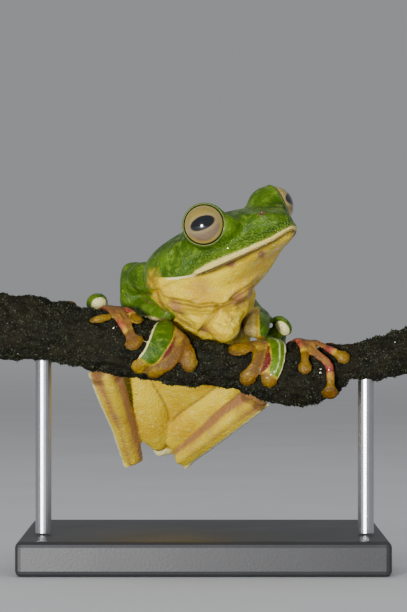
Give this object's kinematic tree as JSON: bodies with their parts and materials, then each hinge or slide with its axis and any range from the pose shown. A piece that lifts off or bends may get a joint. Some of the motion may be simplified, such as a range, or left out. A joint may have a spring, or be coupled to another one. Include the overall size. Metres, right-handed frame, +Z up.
{
  "type": "life-size malabar gliding frog model on a display stand",
  "caption": "Still, life-size model of a green gliding frog gripping a cut length of mossy branch, on a flat display stand with two rods.",
  "frame": {"origin": "middle of the underside of the stand's base, on the floor", "axes": "+Z up, +X to the right along the branch as the picture shows it, +Y away from the viewer"},
  "size_m": [0.0741, 0.062, 0.0676],
  "materials": {
    "skin_green": "moist leaf-green skin with cream lips and throat, glossy",
    "skin_cream": "granular cream-yellow skin, soft sheen",
    "skin_yellow": "moist yellow-orange skin of the digits with dark red webs, glossy",
    "eye": "wet pale beige iris with a black horizontal pupil",
    "bark": "dark wet bark with short moss",
    "stand_paint": "satin black paint",
    "stand_steel": "brushed"
  },
  "bodies": {
    "root": {"head": "skin_green", "torso": "skin_green", "eye_right": "eye", "eye_left": "eye", "upper_arm_right": "skin_green", "upper_arm_left": "skin_green", "forearm_right": "skin_green", "forearm_left": "skin_green", "hand_right": "skin_yellow", "hand_left": "skin_yellow", "thigh_right": "skin_cream", "thigh_left": "skin_cream", "shank_right": "skin_green", "shank_left": "skin_green", "tarsus_right": "skin_cream", "tarsus_left": "skin_cream", "foot_right": "skin_yellow", "foot_left": "skin_yellow", "perch": "bark", "stand_base": "stand_paint", "stand_rod_right": "stand_steel", "stand_rod_left": "stand_steel"}
  },
  "joints": []
}
